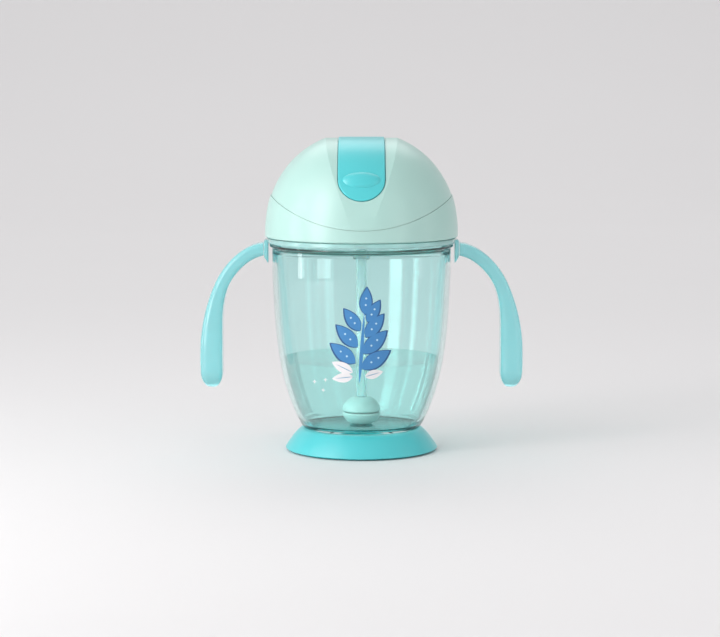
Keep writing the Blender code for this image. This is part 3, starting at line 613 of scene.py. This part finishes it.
# ---- spout ---------------------------------------------------------------------------------
# One soft silicone moulding: a flange under the retaining ring, a neck that kinks when the cover
# folds it forward, and a mouthpiece with a lip and a small hole.
PIVOT = Vector((0, 0, 0.128))
FOLD = radians(-35)
NECK_R, TIP_R, BORE_R = 0.0034, 0.0039, 0.0015
FLANGE_R, FLANGE_Z, KINK_BOW = 0.0072, 0.1126, 0.0030
start_clean()
bpy.ops.mesh.primitive_circle_add(vertices=48, radius=FLANGE_R, location=(0, 0, 0))
spout = bpy.context.object
spout.name = spout.data.name = "soft_spout"
edit()
bpy.ops.transform.translate(value=(0, 0, FLANGE_Z))
reach = FLANGE_R
spot, tilt = Vector((0, 0, FLANGE_Z)), 0.0


def next_ring(there, radius, lean):
    """Extrude the open end to a new centre, radius and lean towards the front."""
    global spot, reach, tilt
    bpy.ops.mesh.extrude_region_move(TRANSFORM_OT_translate={"value": there - spot})
    bpy.ops.transform.rotate(value=-(lean - tilt), orient_axis="X", center_override=there)
    scale = radius / reach
    bpy.ops.transform.resize(value=(scale, scale, scale), center_override=there)
    spot, reach, tilt = there, radius, lean


for z, radius in ((0.1128, FLANGE_R), (0.1146, FLANGE_R), (0.1148, 0.0070),
                  (0.1148, NECK_R + 0.0004), (0.1152, NECK_R), (0.1200, NECK_R), (0.1222, NECK_R)):
    next_ring(Vector((0, 0, z)), radius, 0.0)
full_lean = radians(90) - FOLD
for i in range(1, 11):
    share = i / 10
    lean = full_lean * share
    sag = KINK_BOW * (sin(lean) - 1) * 0.6 * (1 - share)
    there = PIVOT + Vector((0, -KINK_BOW * (1 - cos(lean)) * 0.4, sag))
    next_ring(there, NECK_R + (TIP_R - NECK_R) * share, lean)
forward = Vector((0, -cos(FOLD), sin(FOLD)))
for along, radius in ((0.0045, TIP_R), (0.0100, TIP_R), (0.0138, TIP_R), (0.0150, TIP_R - 0.0001),
                      (0.0200, TIP_R - 0.0003), (0.0260, TIP_R - 0.0006), (0.0278, TIP_R - 0.0006),
                      (0.0290, TIP_R - 0.0003), (0.0295, TIP_R), (0.0325, TIP_R),
                      (0.0333, TIP_R - 0.0003), (0.0338, TIP_R - 0.0008), (0.0340, TIP_R - 0.0013),
                      (0.0340, BORE_R + 0.0002), (0.0337, BORE_R), (0.0200, BORE_R),
                      (0.0060, BORE_R)):
    next_ring(PIVOT + forward * along, radius, full_lean)
bpy.ops.mesh.edge_face_add()
pick(spout, lambda at: at.z < FLANGE_Z + 0.00001)
bpy.ops.mesh.extrude_region_move()
bpy.ops.transform.resize(value=(0.25, 0.25, 1), center_override=(0, 0, FLANGE_Z))
bpy.ops.mesh.edge_face_add()
bpy.ops.mesh.select_all(action="SELECT")
bpy.ops.mesh.normals_make_consistent(inside=False)
bpy.ops.object.mode_set(mode="OBJECT")
smooth(spout, 45)
spout.data.materials.append(silicone.material)
bpy.ops.object.transform_apply(location=True, rotation=True, scale=True)
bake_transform(spout)
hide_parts("spout_root", "spout_tip")

# ---- lid collar ----------------------------------------------------------------------------
# Lower shell of the lid, satin mint polypropylene, with an arched upper edge, a web and the
# threaded skirt that grips the neck.
DOME_Z, DOME_R = 0.1018, 0.0452
SEAM_Z, SEAM_R = 0.1063, 0.0712


def dome_outline(radius, rise, low_z, steps=60):
    """Half outline of the dome from the axis at its top down to its straight lower edge."""
    points = []
    for i in range(steps + 1):
        turn = radians(90 - 90 * i / steps)
        points.append((radius * cos(turn) ** (2 / 2.1) if i else 0.0,
                       DOME_Z + rise * sin(turn) ** (2 / 2.1)))
    return points + [(radius, low_z)]


def cylinder(axis, radius, centre, length=0.2, steps=256):
    """A long cylinder along X or Y, used to trim the lid's shells."""
    turn = {"X": (0, pi / 2, 0), "Y": (pi / 2, 0, 0)}[axis]
    start_clean()
    bpy.ops.mesh.primitive_cylinder_add(vertices=steps, radius=radius, depth=length,
                                        location=centre, rotation=turn)
    bpy.ops.object.transform_apply(location=True, rotation=True, scale=True)
    return bpy.context.object


outside = [p for p in dome_outline(DOME_R, 0.051, 0.1012) if p[1] < 0.136]
inside = [p for p in dome_outline(DOME_R - 0.0020, 0.049, 0.1007) if p[1] < 0.134]
collar = turned("collar_shell", [*outside, (DOME_R - 0.0006, 0.1007, 0.0004), *inside[::-1]],
                steps=216)
join_cut(collar, cylinder("Y", SEAM_R, (0, 0, SEAM_Z + SEAM_R)))
skirt = turned("skirt", [
    (0.0404, 0.1140, 0.0003), (0.0404, 0.1036, 0.0006), (0.0440, 0.1036), (0.0440, 0.1020),
    (0.0404, 0.1020, 0.0006), (0.0404, 0.1001, 0.0003), (0.0390, 0.1001, 0.0003), (0.0390, 0.1126),
    (0.0373, 0.1126, 0.0002), (0.0373, 0.1140, 0.0003)], steps=216)
join_cut(collar, skirt, "UNION")
smooth(collar, 30)
give(collar, mint, "lid", "lid_collar", slot="mint_plastic")


# ---- dome cover ----------------------------------------------------------------------------
# Upper shell in the same mint, snapped into the collar. A flat band runs over its top, with a
# trough and side grooves for the sliding cover and a slot for the spout.
BAND_R = 0.0451


def wrapped_plate(name, start, end, half_width, inner, outer, round_front=False, round_back=False,
                  chamfer=0.0, step=2.0):
    """A plate laid flat, with square or half-round ends, then bent round the dome's centre.

    Angles rise from the front over the top; inner and outer are radii from the centre.
    """
    low_z, high_z = (radians(a) * BAND_R for a in (start, end))
    start_clean()
    bpy.ops.mesh.primitive_plane_add(size=1.0, rotation=(radians(90), 0, 0))
    bpy.ops.object.transform_apply(location=False, rotation=True, scale=False)
    plate = bpy.context.object
    plate.name = plate.data.name = name
    edit()
    bpy.ops.transform.resize(value=(2 * half_width, 1, high_z - low_z), center_override=(0, 0, 0))
    bpy.ops.transform.translate(value=(0, BAND_R - outer, (low_z + high_z) / 2))
    middle = (low_z + high_z) / 2
    for is_round, wanted in ((round_front, lambda at: at.z < middle),
                             (round_back, lambda at: at.z > middle)):
        if is_round:
            pick(plate, wanted)
            bpy.ops.mesh.bevel(offset=half_width * 0.999, segments=14, affect="VERTICES")
            bpy.ops.mesh.remove_doubles(threshold=3e-5)
    bpy.ops.mesh.select_all(action="SELECT")
    bpy.ops.mesh.extrude_region_move(TRANSFORM_OT_translate={"value": (0, outer - inner, 0)})
    bpy.ops.mesh.select_all(action="SELECT")
    bpy.ops.mesh.normals_make_consistent(inside=False)
    if chamfer:
        pick(plate, lambda middle: abs(middle.y - (BAND_R - outer)) < 1e-6, "FACE")
        bpy.ops.mesh.region_to_loop()
        bpy.ops.mesh.bevel(offset=chamfer, segments=3, affect="EDGES")
    count = ceil((end - start) / step)
    for i in range(1, count):
        bpy.ops.mesh.select_all(action="SELECT")
        bpy.ops.mesh.bisect(plane_co=(0, 0, low_z + (high_z - low_z) * i / count),
                            plane_no=(0, 0, 1))
    bpy.ops.object.mode_set(mode="OBJECT")
    heights = [vertex.co.z for vertex in plate.data.vertices]
    bpy.ops.object.modifier_add(type="SIMPLE_DEFORM")
    bend = plate.modifiers[-1]
    bend.deform_method, bend.deform_axis = "BEND", "X"
    bend.angle = (max(heights) - min(heights)) / BAND_R
    bpy.ops.object.modifier_apply(modifier=bend.name)
    edit()
    bpy.ops.transform.translate(value=(0, -BAND_R, DOME_Z))
    bpy.ops.mesh.normals_make_consistent(inside=False)
    bpy.ops.object.mode_set(mode="OBJECT")
    return plate


COVER_START, COVER_END, TRAVEL = 23.3, 91.0, 66.0
COVER_HALF, GAP, SEAM_GAP = 0.0107, 0.0003, 0.00012
TONGUE_HALF, HOUSING_HALF, SLOT_HALF, CUTTER_R = 0.0118, 0.0138, 0.0065, 0.055
dome = turned("dome_shell", [*dome_outline(DOME_R, 0.048, 0.1001), (0.0, 0.1001)],
              steps=216, closed=False)
join_cut(dome, cylinder("X", BAND_R, (0, 0, DOME_Z)), "INTERSECT")
join_cut(dome, cylinder("Y", SEAM_R - SEAM_GAP, (0, 0, SEAM_Z + SEAM_R)), "INTERSECT")
hollow = turned("hollow", [*dome_outline(DOME_R - 0.0020, 0.0442, 0.0981), (0.0, 0.0981)],
                steps=96, closed=False)
join_cut(hollow, wrapped_plate("housing", COVER_START - 2.3, COVER_END + TRAVEL + 2.6,
                               HOUSING_HALF, 0.0412, CUTTER_R, step=4.0))
join_cut(dome, hollow)
join_cut(dome, wrapped_plate("trough", COVER_START - 0.4, COVER_END + TRAVEL + 0.5,
                             COVER_HALF + GAP, 0.0430, CUTTER_R, round_front=True))
join_cut(dome, wrapped_plate("groove", 37.5, 76.0 + TRAVEL + 0.5, TONGUE_HALF + GAP, 0.0432,
                             0.0445, step=3.7))
join_cut(dome, wrapped_plate("slot", 30.0, 86.0, SLOT_HALF, 0.035, 0.050, round_front=True,
                             round_back=True))
smooth(dome, 9)
give(dome, mint, "lid", "dome_cover", slot="mint_plastic")

# ---- sliding cover -------------------------------------------------------------------------
# Satin teal shutter that closes the spout's slot. It has a half-round front end, softly rounded
# edges, an oval bump for the thumb, and a tongue on each side that runs in the dome's grooves.
cover = wrapped_plate("cover_shutter", COVER_START, COVER_END, COVER_HALF, 0.0433, 0.0456,
                      round_front=True, chamfer=0.0005)
join_cut(cover, wrapped_plate("tongue", 38.0, 76.0, TONGUE_HALF, 0.0435, 0.0442), "UNION")
THUMB, THUMB_R, THUMB_SIZE = radians(36.6), 0.0450, (0.0089, 0.0043, 0.0023)
start_clean()
bpy.ops.mesh.primitive_uv_sphere_add(segments=64, ring_count=32, radius=1.0)
bump = bpy.context.object
edit()
bpy.ops.transform.resize(value=THUMB_SIZE, center_override=(0, 0, 0))
bpy.ops.mesh.bisect(plane_co=(0, 0, -0.0005), plane_no=(0, 0, -1), clear_outer=True, use_fill=True)
bpy.ops.mesh.select_all(action="SELECT")
bpy.ops.transform.rotate(value=-(pi / 2 - THUMB), orient_axis="X", center_override=(0, 0, 0))
bpy.ops.transform.translate(value=(0, -THUMB_R * cos(THUMB), DOME_Z + THUMB_R * sin(THUMB)))
bpy.ops.object.mode_set(mode="OBJECT")
join_cut(cover, bump, "UNION")
smooth(cover, 30)
give(cover, teal, "slider", "slide_cover", slot="teal_plastic")


# ---- printed sprig -------------------------------------------------------------------------
# Thin layers of ink on the vessel's front: a blue leafy branch with pale dots, small white leaves
# below it, and a few sparkles. Each layer is a sheet a few hundredths of a millimetre thick.
FLAT_Y, INK_DEPTH = -0.06, 0.00003


def leaf(length, width, lean, base, bulge=0.55):
    """A flat pointed leaf in the XZ plane that starts at its base and leans to the right."""
    start_clean()
    bpy.ops.mesh.primitive_circle_add(vertices=40, radius=1.0, fill_type="NGON")
    made = bpy.context.object
    for vertex in made.data.vertices:
        up = (vertex.co.y + 1) / 2
        pinch = (4 * up * (1 - up)) ** 0.35 * (1 + 0.5 * (bulge - up))
        vertex.co = (vertex.co.x * pinch * width / 2, 0, up * length)
    edit()
    bpy.ops.transform.rotate(value=-radians(lean), orient_axis="Y", center_override=(0, 0, 0))
    bpy.ops.transform.translate(value=(base[0], FLAT_Y, base[1]))
    bpy.ops.object.mode_set(mode="OBJECT")
    return made


def printed(name, shapes, lift, finish):
    """Join flat shapes, cut them finely, lay them on the vessel's wall and give them a body."""
    start_clean()
    for shape in shapes:
        shape.select_set(True)
    bpy.context.view_layer.objects.active = shapes[0]
    if len(shapes) > 1:
        bpy.ops.object.join()
    layer = bpy.context.object
    layer.name = layer.data.name = name
    edit()
    for i in range(-16, 17):
        bpy.ops.mesh.select_all(action="SELECT")
        bpy.ops.mesh.bisect(plane_co=(i * 0.0015, 0, 0), plane_no=(1, 0, 0))
    for i in range(1, 16):
        bpy.ops.mesh.select_all(action="SELECT")
        bpy.ops.mesh.bisect(plane_co=(0, 0, 0.03 + i * 0.0035), plane_no=(0, 0, 1))
    bpy.ops.mesh.select_all(action="SELECT")
    bpy.ops.mesh.quads_convert_to_tris()
    bpy.ops.object.mode_set(mode="OBJECT")
    bpy.ops.object.modifier_add(type="SHRINKWRAP")
    lay = layer.modifiers[-1]
    lay.target, lay.wrap_method = vessel, "PROJECT"
    lay.use_project_y, lay.use_positive_direction = True, True
    lay.use_project_x = lay.use_project_z = lay.use_negative_direction = False
    bpy.ops.object.modifier_apply(modifier=lay.name)
    for vertex in layer.data.vertices:
        out = Vector((vertex.co.x, vertex.co.y, 0)).normalized()
        vertex.co += out * lift
    edit()
    bpy.ops.mesh.normals_make_consistent(inside=False)
    bpy.ops.object.mode_set(mode="OBJECT")
    bpy.ops.object.modifier_add(type="SOLIDIFY")
    layer.modifiers[-1].thickness = INK_DEPTH
    layer.modifiers[-1].offset = 0.0
    bpy.ops.object.modifier_apply(modifier=layer.modifiers[-1].name)
    smooth(layer, 40)
    give(layer, finish, "cup")
    return layer


def ink(name, colour, other):
    """Printed ink, slightly uneven in colour and gloss."""
    made = Finish(name, Roughness=0.4)
    made.feed("Base Color", made.mix(made.noise(500, 3), colour, other))
    made.feed("Roughness", 0.32 + 0.15 * made.noise(1500, 2))
    return made


def speck(x, z, radius, points=0):
    """A flat dot, or a sparkle with this many points."""
    start_clean()
    bpy.ops.mesh.primitive_circle_add(vertices=2 * points or 14, radius=radius, fill_type="NGON")
    made = bpy.context.object
    for i, vertex in enumerate(made.data.vertices):
        short = 0.28 if points and i % 2 else 1.0
        vertex.co = (vertex.co.x * short, 0, vertex.co.y * short)
    edit()
    bpy.ops.transform.translate(value=(x, FLAT_Y, z))
    bpy.ops.object.mode_set(mode="OBJECT")
    return made


# Length, width, lean and base of each blue leaf, from the foot of the branch to its tip.
branch = ((0.0150, 0.0064, 58, (0.0000, 0.0435)), (0.0140, 0.0060, -52, (-0.0028, 0.0460)),
          (0.0145, 0.0062, 46, (0.0008, 0.0505)), (0.0135, 0.0058, -44, (-0.0018, 0.0535)),
          (0.0130, 0.0056, 38, (0.0018, 0.0580)), (0.0120, 0.0052, -36, (-0.0006, 0.0610)),
          (0.0110, 0.0048, 30, (0.0026, 0.0650)), (0.0120, 0.0050, 4, (0.0016, 0.0685)))
stem = (0.0330, 0.0016, 4, (-0.0010, 0.0365))
printed("print_outline", [leaf(l + 0.0010, w + 0.0010, a, (b[0], b[1] - 0.0003))
                          for l, w, a, b in branch], 0.00004,
        ink("ink_navy", (0.020, 0.085, 0.240), (0.030, 0.110, 0.280)))
printed("print_leaves", [leaf(l, w, a, b) for l, w, a, b in (stem, *branch)], 0.00008,
        ink("ink_blue", (0.050, 0.225, 0.510), (0.062, 0.255, 0.550)))
small = ((0.0105, 0.0048, -64, (-0.0040, 0.0415)), (0.0095, 0.0044, -98, (-0.0040, 0.0395)),
         (0.0085, 0.0040, 74, (0.0016, 0.0395)))
printed("print_white_leaves", [leaf(*each) for each in small]
        + [speck(x, z, 0.0011, points=4) for x, z in ((-0.0165, 0.0375), (-0.0215, 0.0362),
                                                      (-0.0175, 0.0325))], 0.00010,
        ink("ink_white", (0.80, 0.78, 0.80), (0.86, 0.83, 0.84)))
printed("print_veins", [leaf(l * 0.82, 0.0003, a, b) for l, w, a, b in small], 0.00014,
        ink("ink_vein", (0.10, 0.30, 0.50), (0.12, 0.34, 0.54)))
dots = [speck(b[0] + l * share * sin(radians(a)), b[1] + l * share * cos(radians(a)), 0.00045)
        for l, w, a, b in branch for share in (0.35, 0.60)]
printed("print_dots", dots, 0.00014, ink("ink_pale", (0.42, 0.66, 0.80), (0.48, 0.70, 0.83)))

# ---- water ---------------------------------------------------------------------------------
# A little water in the vessel, shown as a prop that isn't part of the cup. Its side stays just
# inside the wall, and light passes it with a faint tint.
WATER_Z = 0.0437
water_wall = [(wall_radius(z) - WALL - 0.00015, z) for z in
              [0.0150 + (WATER_Z - 0.0150) * i / 24 for i in range(25)]]
water = turned("water", [(0.0, 0.0119), (0.0230, 0.0119), (0.0258, 0.0128), *water_wall,
                         (wall_radius(WATER_Z) - WALL - 0.0006, WATER_Z - 0.0002),
                         (0.0, WATER_Z - 0.0003)],
               steps=144, closed=False)
smooth(water)
wet = Finish("water", Roughness=0.0)
links = wet.tree.links
through = wet.node("ShaderNodeBsdfTransparent", inputs={"Color": (0.90, 0.978, 0.970, 1.0)})
shine = wet.node("ShaderNodeBsdfGlossy", inputs={"Roughness": 0.02})
edge = wet.node("ShaderNodeFresnel", inputs={"IOR": 1.2})
both = wet.node("ShaderNodeMixShader", inputs={0: edge * 0.5, 1: through, 2: shine})
links.new(both.socket, wet.tree.nodes["Material Output"].inputs["Surface"])
water.data.materials.append(wet.material)
water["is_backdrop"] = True

low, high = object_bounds()
